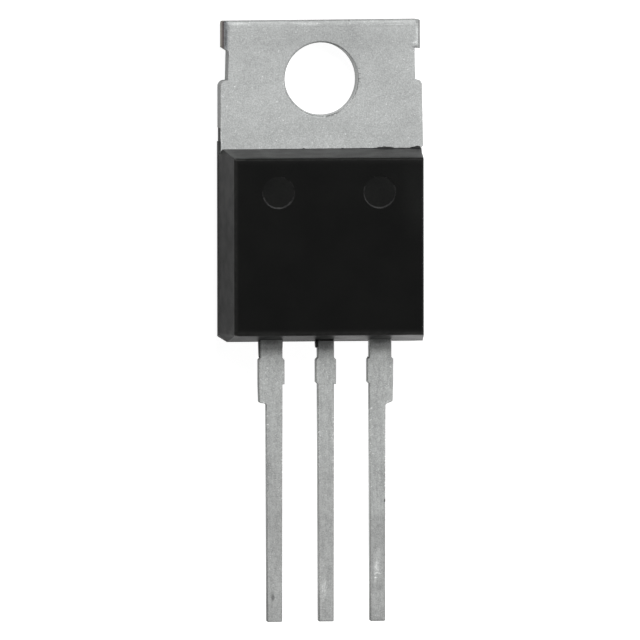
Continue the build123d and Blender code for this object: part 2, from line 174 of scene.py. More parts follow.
def seenAsWhite(tree):
    rays = addNode(tree, "ShaderNodeLightPath").outputs
    # metal and gloss see a painted pool of light on the floor: dim at the left, bright at the right and in
    # front of the leads' end of the body
    shine = addMath(tree, "MAXIMUM", rays["Is Glossy Ray"], rays["Is Transmission Ray"])
    axes = splitAxes(tree, addNode(tree, "ShaderNodeTexCoord").outputs["Object"])
    half = studio["poolHalf"] * mm
    paintedPool = addRamp(
        tree, axes["X"], -half, half, studio["shineLeft"], studio["shineRight"], smooth=False)
    step = studio["frontHalf"] * mm
    front = addRamp(
        tree, axes["Y"], bodyLow[1] + step, bodyLow[1] - step, 1.0, studio["shineFront"])
    shine = addMath(tree, "MULTIPLY", shine, addMath(tree, "MULTIPLY", paintedPool, front))
    return addMath(tree, "MULTIPLY_ADD", rays["Is Camera Ray"], studio["floorGlow"], shine)


def addFloor():
    height = cadBox[0][2] - studio["floorGap"] * mm
    bpy.ops.mesh.primitive_plane_add(size=studio["floorSize"], location=(0, 0, height))
    floor = bpy.context.object
    floor.name = "floor"
    material = bpy.data.materials.new("paleSweep")
    material.use_nodes = True
    tree = material.node_tree
    tree.nodes.clear()
    glow = addNode(tree, "ShaderNodeEmission", {"Color": white, "Strength": seenAsWhite(tree)})
    paper = addNode(tree, "ShaderNodeBsdfDiffuse", {"Color": asColor(studio["floorGrey"])})
    sweep = addNode(tree, "ShaderNodeAddShader", {0: glow.outputs[0], 1: paper.outputs[0]})
    addNode(tree, "ShaderNodeOutputMaterial", {"Surface": sweep.outputs[0]})
    floor.data.materials.append(material)


def addRoom():
    world = bpy.data.worlds.new("greyRoom")
    scene.world = world
    world.use_nodes = True
    tree = world.node_tree
    tree.nodes.clear()
    rays = addNode(tree, "ShaderNodeLightPath").outputs
    height = splitAxes(tree, addNode(tree, "ShaderNodeTexCoord").outputs["Generated"])["Z"]
    room = addRamp(tree, height, 0.0, studio["roomHighAt"], studio["roomLow"], studio["roomHigh"])
    seen = addMath(tree, "MAXIMUM", room, rays["Is Camera Ray"])
    light = addNode(tree, "ShaderNodeBackground", {"Color": white, "Strength": seen})
    addNode(tree, "ShaderNodeOutputWorld", {"Surface": light.outputs[0]})


addFloor()
addRoom()
print("stage: studio")


# finishes: lengths are in mm, and a noise is its scale per mm, its detail and its roughness

noiseSpan = (0.3, 0.7)      # where most of a noise's values lie


def stretch(tree, place, scale):
    return addNode(tree, "ShaderNodeMapping", {"Vector": place, "Scale": scale}).outputs[0]


def newFinish(name):
    material = bpy.data.materials.new(name)
    material.use_nodes = True
    tree = material.node_tree
    shader = tree.nodes["Principled BSDF"]
    coordinates = addNode(tree, "ShaderNodeTexCoord").outputs["Object"]
    return material, tree, shader, stretch(tree, coordinates, (1 / mm, 1 / mm, 1 / mm))


def addNoise(tree, place, scale, detail, roughness):
    return addNode(tree, "ShaderNodeTexNoise", {
        "Vector": place, "Scale": scale, "Detail": detail, "Roughness": roughness}).outputs["Fac"]


def addBump(tree, strength, depth, height, under=None):
    inputs = {"Strength": strength, "Distance": depth * mm, "Height": height}
    if under is not None:
        inputs["Normal"] = under
    return addNode(tree, "ShaderNodeBump", inputs).outputs[0]


def mixColors(tree, factor, first, second, how="MIX"):
    # sockets 6 and 7 of this node are its two colours, and output 2 is the mixed one
    inputs = {0: factor, 6: first, 7: second}
    return addNode(tree, "ShaderNodeMix", inputs, data_type="RGBA", blend_type=how).outputs[2]


def tint(tree, factor, base, tone):
    return mixColors(tree, factor, base, asColor(tone), "MULTIPLY")


def addMark(tree, place, base, x, y, halfX, halfY, tone, full=0.3):
    # a spot or streak: darker where its tone is under 1, brighter where it is over
    spot = addNode(tree, "ShaderNodeMapping", {
        "Vector": place, "Location": (-x / halfX, -y / halfY, 0), "Scale": (1 / halfX, 1 / halfY, 0)})
    reach = addVectorMath(tree, "LENGTH", {0: spot.outputs[0]})["Value"]
    return tint(tree, addRamp(tree, reach, 1.0, full), base, tone)


def product(tree, *masks):
    result = masks[0]
    for mask in masks[1:]:
        result = addMath(tree, "MULTIPLY", result, mask)
    return result


def zoneMask(tree, measures, zones):
    # a zone is a measure, where it starts and where it is full, and two strengths if not 0 and 1
    return product(tree, *(addRamp(tree, measures[name], *span) for name, *span in zones))


onLeads = ("Y", -12.9, -13.1)
inHole = ("fromAxis", 1.90, 1.88)
onLeftStub = (("X", -4.56, -4.64), ("Y", 1.1, 1.3))
stubTop = ("Z", 0.80, 0.90)
stubEdge = ("X", -4.775, -4.80)

tin = {
    "dark": (0.355, 0.363, 0.36, 1),
    "light": (0.622, 0.635, 0.63, 1),
    "darkToLight": (0.28, 0.72),
    "speck": (0.80, 0.81, 0.81, 1),
    "speckFrom": (0.63, 0.76),
    "roughness": (0.62, 0.78),
    "grain": (17.0, 2, 0.7),
    "mottle": (5.0, 3, 0.6),
    "blotch": (0.9, 3, 0.5),
    "streak": (1.0, 2, 0.5),
    "drawn": (9.0, 0.9, 9.0),       # the streaks run along the leads
    "specks": (13.0, 2, 0.6),
    "blotchShare": 0.14,            # of the tone, the rest being grain
    "mottled": (0.11, 0.28),        # how strong on the tab, and on the leads
    "streaked": (0.0, 0.22),
    "dented": (0.1, 0.25),
    "dentDepth": 0.03,
    "fineBump": 0.6,
    "fineDepth": 0.010,
    "edgeSpecks": 0.09,             # more of them along the edges of the leads
    "edgeSpeckZones": (
        onLeads, ("offCentre", 0.24, 0.36), ("Y", -21.5, -19.5), ("Y", -15.6, -16.2, 0.35, 1.0)),
    "halfPitch": 1.27,
    "endY": 2.892,                  # the free end in the middle, and how much it slants
    "endSlant": 0.00567,
    "raggedScale": 6.0,             # of the outlines of marks
    "raggedBy": 0.12,
}
tinShades = {
    # name: tone, then the zones it lies in
    "leads": ((0.90, 0.90, 0.895, 1), onLeads),
    # painted shade: the leads darken towards the body that overhangs them
    "painted shade at lead roots": (0.76, onLeads, ("Y", -13.7, -12.75)),
    "left lips": (1.25, onLeads, ("Y", -15.8, -16.2), ("offset", -0.33, -0.40)),
    "other tips": ((0.945, 0.94, 0.94, 1), onLeads, ("X", 1.3, 1.2), ("Y", -16.5, -20.5)),
    "right tip": ((0.90, 0.895, 0.895, 1), onLeads, ("X", 1.2, 1.3), ("Y", -20.9, -21.3)),
    "cut ends": (0.80, ("Y", -26.385, -26.43)),
    "tip outlines": (0.76, ("Y", -24.6, -25.6), ("offCentre", 0.305, 0.345)),
    "burnished wall": (1.45, inHole, ("level", 0.97, 0.80), ("Z", 1.0, 1.12), ("X", 0.8, 1.2)),
    "left rim": (0.70, inHole, ("level", 0.99, 0.90), ("Z", 1.12, 1.18), ("X", 1.0, 0.4), ("Y", 0.0, -0.6)),
    "hole foot": (0.80, inHole, ("Z", 0.65, 0.45)),
    "cut copper": ((1.0, 0.925, 0.83, 1), ("level", 0.7, 0.3), *onLeftStub, ("stubTop", 1, 0)),
    # painted shade, tinted brown, on the left stub's rolled lip that turns away from the light
    "left stub lip painted shade, brown tinted": ((0.53, 0.44, 0.44, 1), *onLeftStub, stubTop, stubEdge),
    "rolled stub": (
        (0.86, 0.87, 0.90, 1), *onLeftStub, stubTop, ("stubEdge", 1, 0), ("streak", 0.25, 0.5, 0.5, 1.0)),
    "end face": (0.72, ("fromEnd", -0.075, -0.05)),
    "end band": (0.86, ("Y", 2.50, 2.62), ("mottle", 0.40, 0.60, 0.3, 1.0)),
    "right edge": (0.58, ("X", 4.79, 4.81), ("Y", 1.4, 1.5)),
}
marks = {
    # name: middle x and y, half width and half length, tone, and where it is full, as a share of its size
    "upper wash": (0.5, 1.7, 4.8, 2.6, 0.895, 0.0),
    "upper band wash": (0.3, 1.95, 9.0, 0.75, 0.95, 0.3),
    "upper right wash": (3.6, 0.2, 1.6, 2.2, 0.95, 0.0),
    "upper left wash": (-3.4, 0.8, 1.6, 2.0, 0.95, 0.0),
    "lower left wash": (-3.6, -1.6, 2.0, 1.6, 1.06, 0.1),
    "lower right wash": (4.3, -2.3, 1.0, 1.3, 0.93, 0.0),
    "lower wash": (-0.4, -3.2, 4.2, 0.7, 1.07, 0.2),
    # painted shade at the left lead's root, under the body's overhang
    "left lead root painted shade": (-2.70, -12.76, 0.60, 0.22, 0.78, 0.3),
    "left lead wash": (-2.30, -16.1, 0.25, 1.4, 0.94),
    "left lead middle wash": (-2.85, -17.0, 0.22, 4.0, 0.96),
    "middle lead tip": (-0.22, -24.6, 0.24, 1.4, 1.09, 0.5),
    # the right lead's root: the painted shade lifted along it, and deepened at its foot
    "right lead root, less painted shade": (2.66, -13.10, 0.7, 0.62, 1.16, 0.6),
    "right lead foot painted shade": (2.66, -12.74, 0.60, 0.17, 0.62, 0.3),
    "left lead low wash": (-2.64, -22.1, 0.60, 1.3, 0.955, 0.4),
    "right lead low wash": (2.54, -22.1, 0.60, 1.0, 0.955, 0.4),
    "right lead tip light": (2.54, -25.1, 0.60, 1.3, 1.06, 0.7),
    "right lead tip streak": (2.44, -24.2, 0.10, 0.9, 1.12),
    # painted highlights where the rolled edge at the tab's free end catches the light, and one nick
    "end painted shine": (-0.55, 2.72, 0.95, 0.08, 1.16, 0.4),
    "end right painted highlight": (3.60, 2.64, 0.85, 0.05, 1.15),
    "end nick": (1.37, 2.86, 0.05, 0.06, 0.5),
    "end painted highlight 1": (-4.05, 2.73, 0.60, 0.07, 1.25),
    "end painted highlight 2": (-1.30, 2.75, 0.28, 0.05, 1.15),
    "end painted highlight 3": (-0.21, 2.74, 0.07, 0.05, 1.2),
    "end painted highlight 4": (1.42, 2.73, 0.09, 0.05, 1.2),
    "end painted highlight 5": (2.90, 2.72, 0.30, 0.05, 1.15),
    # painted highlights on the right stub's edge, which faces the light
    "right stub painted highlight": (4.72, 2.15, 0.085, 0.55, 1.25),
    "right stub low painted highlight": (4.63, 1.78, 0.17, 0.10, 1.35),
    "right stub corner": (4.74, 2.80, 0.13, 0.14, 0.7),
    "right stub foot": (4.66, 1.56, 0.24, 0.09, 0.6),
    "left stub streak 1": (-4.685, 2.15, 0.07, 0.62, 0.66),
    "left stub streak 2": (-4.64, 2.35, 0.05, 0.25, 0.75),
    "left stub streak 3": (-4.70, 1.72, 0.06, 0.18, 0.7),
    "left stub foot": (-4.74, 1.47, 0.09, 0.06, 0.55),
    "left stub corner": (-4.89, 1.60, 0.12, 0.09, 0.72),
    # painted shade at the middle lead's root
    "middle lead root painted shade": (-0.06, -12.80, 0.60, 0.55, 0.72),
    "left edge nick 1": (-4.95, -1.20, 0.025, 0.06, 0.6),
    "left edge nick 2": (-4.95, -1.30, 0.025, 0.03, 0.55),
    "left edge nick 3": (-4.95, -2.46, 0.03, 0.05, 0.55),
    # painted highlight along the tab's left front edge
    "left edge painted highlight": (-4.93, -2.65, 0.035, 0.85, 1.2),
    "rim tick 1": (1.87, 0.52, 0.09, 0.030, 0.5),
    "rim tick 2": (1.89, 0.28, 0.09, 0.030, 0.5),
    "rim tick 3": (1.89, 0.02, 0.08, 0.025, 0.55),
    "rim tick 4": (1.90, -0.14, 0.10, 0.030, 0.5),
    "left lead smudge": (-2.63, -25.27, 0.13, 0.23, 0.56),
    "left lead smear": (-2.64, -25.20, 0.14, 0.50, 0.85),
    "left lead edge 1": (-2.84, -18.80, 0.07, 0.45, 0.82),
    "left lead edge 2": (-2.84, -19.70, 0.06, 0.35, 0.85),
    "left lead dot": (-2.23, -19.91, 0.05, 0.08, 1.5),
    "middle lead scratch 1": (-0.16, -24.78, 0.03, 0.45, 1.25),
    "middle lead scratch 2": (-0.06, -24.78, 0.05, 0.75, 1.35),
    "middle lead scratch 3": (0.03, -24.93, 0.03, 0.40, 1.2),
    "middle lead line 1": (-0.06, -19.05, 0.40, 0.03, 1.08),
    "middle lead line 2": (-0.06, -19.59, 0.40, 0.03, 1.08),
    "right lead nick": (2.89, -20.57, 0.08, 0.11, 0.28),
    "right lead streak": (2.53, -23.60, 0.28, 0.85, 1.18),
    "right lead glint": (2.51, -23.75, 0.12, 0.45, 1.2),
    "right lead bar 1": (2.58, -24.13, 0.24, 0.05, 1.4),
    "right lead bar 2": (2.46, -24.33, 0.14, 0.05, 1.5),
    "right lead shade": (2.54, -24.78, 0.44, 0.30, 0.86),
}


def makeTin():
    material, tree, shader, place = newFinish("matteTin")
    axes = splitAxes(tree, place)
    facing = splitAxes(tree, addNode(tree, "ShaderNodeNewGeometry").outputs["True Normal"])
    flat = addNode(tree, "ShaderNodeCombineXYZ", {"X": axes["X"], "Y": axes["Y"]}).outputs[0]
    endLine = addMath(tree, "MULTIPLY_ADD", axes["X"], tin["endSlant"], tin["endY"])
    grain = addNoise(tree, place, *tin["grain"])
    measures = {
        "X": axes["X"],
        "Y": axes["Y"],
        "Z": axes["Z"],
        "level": addMath(tree, "ABSOLUTE", facing["Z"]),
        "offset": addMath(tree, "WRAP", axes["X"], tin["halfPitch"], -tin["halfPitch"]),
        "fromAxis": addVectorMath(tree, "LENGTH", {0: flat})["Value"],
        "fromEnd": addMath(tree, "SUBTRACT", axes["Y"], endLine),
        "mottle": addNoise(tree, place, *tin["mottle"]),
        "streak": addNoise(tree, stretch(tree, place, tin["drawn"]), *tin["streak"]),
    }
    measures["offCentre"] = addMath(tree, "ABSOLUTE", measures["offset"])
    measures["stubTop"] = zoneMask(tree, measures, [stubTop])
    measures["stubEdge"] = zoneMask(tree, measures, [stubEdge])
    onLead = zoneMask(tree, measures, [onLeads])

    # grain, mottling and bright specks
    tone = addMath(tree, "MULTIPLY_ADD", grain, 1 - tin["blotchShare"], addMath(
        tree, "MULTIPLY", addNoise(tree, place, *tin["blotch"]), tin["blotchShare"]))
    for name, strengths in (("mottle", tin["mottled"]), ("streak", tin["streaked"])):
        swing = addMath(tree, "SUBTRACT", measures[name], 0.5)
        swing = addMath(tree, "MULTIPLY", swing, addRamp(tree, onLead, 0, 1, *strengths))
        tone = addMath(tree, "ADD", tone, swing)
    base = mixColors(tree, addRamp(tree, tone, *tin["darkToLight"]), tin["dark"], tin["light"])
    specks = addMath(
        tree, "MULTIPLY_ADD", zoneMask(tree, measures, tin["edgeSpeckZones"]), tin["edgeSpecks"],
        addNoise(tree, place, *tin["specks"]))
    base = mixColors(tree, addRamp(tree, specks, *tin["speckFrom"]), base, tin["speck"])

    for shade, *zones in tinShades.values():
        base = tint(tree, zoneMask(tree, measures, zones), base, shade)

    # knocks, smudges and scratches, with ragged outlines
    wander = addNode(tree, "ShaderNodeTexNoise", {
        "Vector": place, "Scale": tin["raggedScale"], "Detail": 3.0}).outputs["Color"]
    wander = addVectorMath(tree, "SUBTRACT", {0: wander, 1: (0.5, 0.5, 0.5)})[0]
    wander = addVectorMath(tree, "SCALE", {0: wander, "Scale": tin["raggedBy"]})[0]
    ragged = addVectorMath(tree, "ADD", {0: place, 1: wander})[0]
    for mark in marks.values():
        base = addMark(tree, ragged, base, *mark)

    fine = addBump(tree, tin["fineBump"], tin["fineDepth"], grain)
    dents = addBump(
        tree, addRamp(tree, onLead, 0, 1, *tin["dented"]), tin["dentDepth"], measures["mottle"], fine)
    connect(tree, shader, "Base Color", base)
    connect(tree, shader, "Metallic", 1.0)
    rough = addRamp(tree, grain, *noiseSpan, *tin["roughness"])
    connect(tree, shader, "Roughness", rough)
    connect(tree, shader, "Normal", dents)
    return material


resin = {
    "dark": (0.0022, 0.0023, 0.0023, 1),
    "light": (0.0042, 0.0043, 0.0041, 1),
    "darkToLight": (0.32, 0.68),
    "grain": (16.0, 3, 0.6),
    "blotch": (0.6, 3, 0.5),
    "face": (0.97, 0.999),          # how level the flat face is
    "faceRoughness": 0.30,
    "sideRoughness": 0.44,          # on the drafted sides, left as the mould was cut
    "cloud": (1.2, 2, 0.5),
    "sideUneven": (-0.03, 0.03),
    "grainUneven": (-0.02, 0.025),
    "specular": 0.16,
    "sheen": (0.99, 1.0, 0.975, 1),
    "bump": (0.4, 0.22),            # on the sides, and on the face
    "bumpDepth": 0.008,
    "wearAndEdgeSheen": (0.032, 0.032, 0.031, 1),       # paler along the face's edges: rubbed wear, and painted highlight where the rounded edges catch the light
    "rubbing": (5.0, 3, 0.6),
    "rubbed": (0.75, 1.25),
    "faceHeight": (4.30, 4.40),
    "rims": (                       # of the face: along which axis, from, to, and how strongly paler
        ("X", -4.447, -4.757, 1.0), ("X", 4.487, 4.607, 0.27),
        ("Y", -12.04, -12.46, 0.9), ("Y", -4.15, -3.751, 0.25)),
}
paintedShadeDims = {
    # painted shade: the zones in which each draft loses shine, and how much of it
    "tab end": (("tiltY", 0.03, 0.10), ("Z", 3.7, 4.42, 0, 0.72)),
    "left": (("tiltX", -0.5, -0.7), ("Y", -5.6, -7.6, 0, 0.15)),
    "lead end": (("tiltY", -0.03, -0.10), ("X", -3.5, -1.5, 0, 0.50), ("X", -0.6, 0.8, 1, 0.52)),
}
paleSpots = {
    # as the marks on the tin
    "ear": (-5.05, -3.34, 0.10, 0.42, 12.0, 0.8),
    "cut corner": (-4.74, -3.56, 0.32, 0.26, 6.5, 0.3),
    "cut corner point": (-4.95, -3.49, 0.08, 0.12, 2.2, 0.3),
    "low corner": (-4.80, -12.60, 0.46, 0.30, 6.0, 0.7),
    "low corner top": (-4.90, -12.43, 0.32, 0.09, 2.6, 0.4),
    "low corner spot": (-4.80, -12.26, 0.07, 0.16, 8.0, 0.2),
    "left ejector mark": (-2.535, -5.42, 0.80, 0.80, 1.9, 0.95),
    "right ejector mark": (2.435, -5.42, 0.80, 0.80, 1.9, 0.95),
    # painted light, lifting the shade under the body's lip over each lead
    "painted light over the left lead": (-2.70, -12.64, 0.52, 0.18, 13.0, 0.6),
    "painted light over the middle lead": (-0.05, -12.60, 0.46, 0.14, 11.0, 0.5),
    "painted light over the right lead": (2.66, -12.64, 0.58, 0.18, 15.0, 0.6),
    "face's upper right": (4.3, -5.5, 1.0, 2.6, 2.0, 0.0),
    "face's upper left": (-4.55, -4.8, 0.45, 1.7, 1.15, 0.0),
    "face's corner": (-4.45, -3.815, 0.42, 0.06, 2.2, 0.4),
    "face's lower left edge": (-4.25, -12.36, 0.45, 0.12, 0.72, 0.4),
    "face's lower right edge": (3.90, -12.33, 0.70, 0.09, 1.5, 0.3),
}


def makeResin():
    material, tree, shader, place = newFinish("blackMoulding")
    axes = splitAxes(tree, place)
    facing = splitAxes(tree, addNode(tree, "ShaderNodeNewGeometry").outputs["True Normal"])
    measures = {
        "X": axes["X"], "Y": axes["Y"], "Z": axes["Z"], "tiltX": facing["X"], "tiltY": facing["Y"]}
    onFace = addRamp(tree, facing["Z"], *resin["face"])
    grain = addNoise(tree, place, *resin["grain"])
    tone = addMath(
        tree, "ADD", addMath(tree, "MULTIPLY", grain, 0.5),
        addMath(tree, "MULTIPLY", addNoise(tree, place, *resin["blotch"]), 0.5))
    base = mixColors(tree, addRamp(tree, tone, *resin["darkToLight"]), resin["dark"], resin["light"])

    # paler edges of the face, both rubbed wear and painted highlight, and paler spots
    wearAndEdgeSheen = 0.0
    for axis, start, end, strength in resin["rims"]:
        near = addRamp(tree, axes[axis], start, end, smooth=False)
        near = addMath(tree, "MULTIPLY", product(tree, near, near), strength)
        wearAndEdgeSheen = addMath(tree, "MAXIMUM", wearAndEdgeSheen, near)
    rubbing = addRamp(tree, addNoise(tree, place, *resin["rubbing"]), *noiseSpan, *resin["rubbed"])
    wearAndEdgeSheen = product(tree, wearAndEdgeSheen, addRamp(tree, axes["Z"], *resin["faceHeight"]), rubbing)
    base = mixColors(tree, wearAndEdgeSheen, base, resin["wearAndEdgeSheen"])
    for spot in paleSpots.values():
        base = addMark(tree, place, base, *spot)

    rough = addRamp(
        tree, onFace, 0, 1, resin["sideRoughness"], resin["faceRoughness"], smooth=False)
    cloud = addNoise(tree, place, *resin["cloud"])
    uneven = product(
        tree, addRamp(tree, cloud, *noiseSpan, *resin["sideUneven"]), addRamp(tree, onFace, 1, 0))
    rough = addMath(tree, "ADD", rough, uneven)
    rough = addMath(tree, "ADD", rough, addRamp(tree, grain, *noiseSpan, *resin["grainUneven"]))

    # painted shade: the drafts' shine is lowered zone by zone
    dim = 0.0
    for zones in paintedShadeDims.values():
        dim = addMath(tree, "MAXIMUM", dim, zoneMask(tree, measures, zones))
    shine = addMath(tree, "MULTIPLY", addMath(tree, "SUBTRACT", 1.0, dim), resin["specular"])

    connect(tree, shader, "Base Color", base)
    connect(tree, shader, "Roughness", rough)
    connect(tree, shader, "Specular IOR Level", resin["specular"])     # for where a link is dropped
    connect(tree, shader, "Specular IOR Level", shine)
    connect(tree, shader, "Specular Tint", resin["sheen"])
    bump = addRamp(tree, onFace, 0, 1, *resin["bump"])
    connect(tree, shader, "Normal", addBump(tree, bump, resin["bumpDepth"], grain))
    return material


flash = {
    "tones": {"thinFlash": (0.005, 0.019), "paleFlash": (0.016, 0.036)},    # dark and light
    "patches": (3.0, 3, 0.6),
    "darkToLight": (0.36, 0.64),
    "roughness": 0.5,
    "bump": 0.4,
}


def makeFlash(name):
    material, tree, shader, place = newFinish(name)
    dark, light = flash["tones"][name]
    patches = addRamp(tree, addNoise(tree, place, *flash["patches"]), *flash["darkToLight"])
    connect(tree, shader, "Base Color", mixColors(tree, patches, asColor(dark), asColor(light)))
    connect(tree, shader, "Roughness", flash["roughness"])
    connect(tree, shader, "Specular IOR Level", resin["specular"])
    grain = addNoise(tree, place, *resin["grain"])
    connect(tree, shader, "Normal", addBump(tree, flash["bump"], resin["bumpDepth"], grain))
    return material


inside = {
    # name: dark, light, metallic, roughness, noise, how much it is squeezed along each axis
    "chipSilicon": (
        (0.15, 0.16, 0.19, 1), (0.23, 0.24, 0.28, 1), 0.0, (0.12, 0.24), (2.0, 3, 0.6), (1, 1, 1)),
    "dullSolder": (
        (0.34, 0.34, 0.36, 1), (0.55, 0.55, 0.57, 1), 1.0, (0.42, 0.54), (7.0, 3, 0.6), (1, 1, 1)),
    "drawnAluminium": (
        (0.66, 0.66, 0.67, 1), (0.84, 0.84, 0.85, 1), 1.0, (0.24, 0.36), (9.0, 3, 0.6), (1, 0.12, 1)),
}
insideBump = {
    "strength": 0.3,
    "depth": 0.004,
}


def makeInsideFinish(name):
    dark, light, metallic, roughness, noise, squeezed = inside[name]
    material, tree, shader, place = newFinish(name)
    cloud = addNoise(tree, stretch(tree, place, squeezed), *noise)
    color = mixColors(tree, addRamp(tree, cloud, *noiseSpan), dark, light)
    connect(tree, shader, "Base Color", color)
    connect(tree, shader, "Roughness", addRamp(tree, cloud, *noiseSpan, *roughness))
    connect(tree, shader, "Metallic", metallic)
    bump = addBump(tree, insideBump["strength"], insideBump["depth"], cloud)
    connect(tree, shader, "Normal", bump)
    return material


def giveFinish(piece, material):
    piece.data.materials.clear()
    piece.data.materials.append(material)


finishes = {
    # name: its material and the record's slot
    "metal": (makeTin(), "tinned_copper"),
    "resin": (makeResin(), "molding_compound"),
    "thinFlash": (makeFlash("thinFlash"), "molding_compound"),
    "paleFlash": (makeFlash("paleFlash"), "molding_compound"),
}
for nodeName in ("heat_tab", "lead_left", "lead_right"):
    giveFinish(nodes[nodeName], finishes["metal"][0])
giveFinish(nodes["mold_body"], finishes["resin"][0])
giveFinish(nodes["die"], makeInsideFinish("chipSilicon"))
giveFinish(nodes["die_solder"], makeInsideFinish("dullSolder"))
drawnAluminium = makeInsideFinish("drawnAluminium")
for nodeName in nodes:
    if nodeName.startswith("bond_wire"):
        giveFinish(nodes[nodeName], drawnAluminium)
print("stage: finishes")


# what moulding and punching leave behind: thin flash along the body, at the leads' roots and round
# the ejector marks, and a burr in the hole

smoothUnder = 35            # degrees between faces


def selectIn(piece, kind, test):
    if bpy.context.mode != "OBJECT":
        bpy.ops.object.mode_set(mode="OBJECT")
    bpy.ops.object.select_all(action="DESELECT")
    piece.select_set(True)
    bpy.context.view_layer.objects.active = piece
    mesh = piece.data
    bpy.ops.object.mode_set(mode="EDIT")
    bpy.ops.mesh.select_mode(type=kind)
    bpy.ops.mesh.select_all(action="DESELECT")
    bpy.ops.object.mode_set(mode="OBJECT")
    parts = {"VERT": mesh.vertices, "EDGE": mesh.edges}[kind]
    for part in parts:
        corners = [part.co] if kind == "VERT" else [mesh.vertices[v].co for v in part.vertices]
        part.select = bool(test(sum(corners, Vector()) / len(corners) / mm))
    bpy.ops.object.mode_set(mode="EDIT")


def applyPlace():
    bpy.ops.object.transform_apply(location=True, rotation=True, scale=True)


def applyModifier(piece, kind, **settings):
    bpy.ops.object.mode_set(mode="OBJECT")
    modifier = piece.modifiers.new(kind.lower(), kind)
    for key, value in settings.items():
        setattr(modifier, key, value)
    bpy.ops.object.modifier_apply(modifier=modifier.name)


def finishPiece(piece, finish):
    material, slot = finishes[finish]
    bpy.ops.object.mode_set(mode="EDIT")
    bpy.ops.mesh.select_mode(type="VERT")
    bpy.ops.mesh.select_all(action="SELECT")
    bpy.ops.mesh.normals_make_consistent(inside=False)
    bpy.ops.object.mode_set(mode="OBJECT")
    bpy.ops.object.shade_smooth_by_angle(angle=math.radians(smoothUnder))
    giveFinish(piece, material)
    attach(piece, "root")


slivers = {
    # name: lowest corner, highest corner, share of its width left at its lower end, finish
    "left_root_flash": ((-3.300, -13.53, 2.45), (-3.252, -12.69, 2.87), 0.35, "paleFlash"),
    "left_root_lip": ((-3.262, -13.50, 2.46), (-3.226, -12.69, 2.90), 0.70, "metal"),
    "left_root_line": ((-2.160, -13.05, 2.52), (-2.133, -12.69, 2.903), 0.55, "paleFlash"),
    "middle_root_band": ((-0.490, -12.735, 2.84), (0.385, -12.62, 2.918), 1.0, "resin"),
    "middle_root_chip": ((-0.512, -13.07, 2.45), (-0.41, -12.69, 2.905), 0.65, "paleFlash"),
    "right_root_burr": ((2.045, -13.60, 2.66), (2.115, -13.53, 2.895), 0.45, "paleFlash"),
}
sliverShape = {
    "ripple": (1.0, 0.92, 1.05, 0.90, 1.03, 0.95, 1.0),     # width of each ring, lower end first
    "narrowing": 0.6,       # under 1, it gains most of its width near the lower end
    "thinning": 0.5,        # how much of that it loses in thickness
    "rounding": 0.008,
}


def addSliver(name, low, high, narrow, finish):
    shape = sliverShape
    low, high = Vector(low), Vector(high)
    middle = (low + high) / 2
    rings = len(shape["ripple"])
    step = (high.y - low.y) / rings
    bpy.ops.object.select_all(action="DESELECT")
    bpy.ops.mesh.primitive_cube_add(size=1, location=middle * mm)
    piece = bpy.context.object
    piece.name = name
    piece.scale = (high - low) * mm
    applyPlace()
    selectIn(piece, "EDGE", lambda place: abs(place.y - middle.y) < step / 10)
    bpy.ops.mesh.subdivide(number_cuts=rings - 1)
    for ring, ripple in enumerate(shape["ripple"]):
        ringY = low.y + step * ring
        share = narrow + (1 - narrow) * (ring / rings) ** shape["narrowing"]
        selectIn(piece, "VERT", lambda place: abs(place.y - ringY) < step / 3)
        bpy.ops.transform.resize(
            value=(share * ripple, 1, 1 - shape["thinning"] * (1 - share)),
            center_override=Vector((middle.x, ringY, high.z)) * mm)
    applyModifier(
        piece, "BEVEL", width=shape["rounding"] * mm, segments=2, limit_method="ANGLE")
    finishPiece(piece, finish)


for sliverName, values in slivers.items():
    addSliver(sliverName, *values)
print("stage: root slivers")


bodyFlash = {
    "left": -4.73,
    "right": 4.90,
    "low": -3.412,          # hidden under the moulding's edge
    "edgeLeft": -3.404,     # where the plain edge runs, at the left end and at the right
    "edgeRight": -3.372,
    "base": 1.2705,         # just over the tab's face
    "thick": 0.028,
    "columns": 120,
    "creeps": (             # where it crept further: x, reach, how far, how it falls off
        (-3.3, 0.8, 0.004, "SMOOTH"),
        (-1.9, 0.3, 0.007, "SMOOTH"),
        (-0.855, 0.08, 0.030, "SHARP"),
        (1.02, 0.08, 0.030, "SHARP"),
        (2.05, 0.20, 0.007, "SMOOTH"),
        (2.78, 0.26, 0.018, "SMOOTH"),
        (3.00, 0.24, 0.044, "SPHERE"),
        (3.28, 0.28, 0.058, "SPHERE"),
        (3.90, 0.12, 0.008, "SMOOTH"),
        (4.62, 0.18, 0.050, "SPHERE"),
        (4.84, 0.18, 0.062, "SPHERE"),
    ),
}


